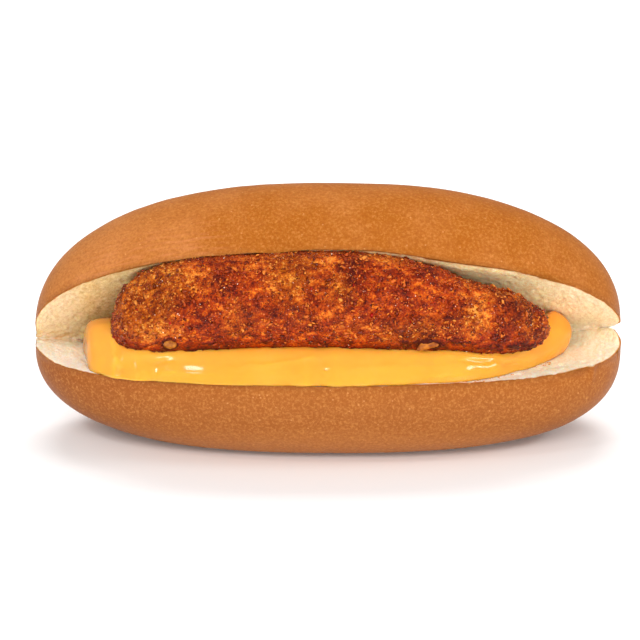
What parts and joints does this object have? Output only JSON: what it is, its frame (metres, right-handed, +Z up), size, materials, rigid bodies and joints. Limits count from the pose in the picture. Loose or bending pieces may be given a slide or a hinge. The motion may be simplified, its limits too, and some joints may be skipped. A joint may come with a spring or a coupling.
{
  "type": "chicken cutlet sandwich",
  "caption": "Long soft roll slit open along its front, holding a breaded chicken cutlet on a layer of yellow cheese sauce. Rests on its flat base.",
  "frame": {"origin": "middle of the sandwich's box, on the surface that it rests on", "axes": "+X along the roll, to the right when its open slit is seen; +Y from the open front to the back; +Z up"},
  "size_m": [0.1658, 0.0792, 0.0714],
  "materials": {
    "roll": "satin",
    "cheese_sauce": "gloss",
    "cutlet": "satin"
  },
  "bodies": {
    "root": {"roll": "roll", "cheese_sauce": "cheese_sauce", "cutlet": "cutlet"}
  },
  "joints": []
}
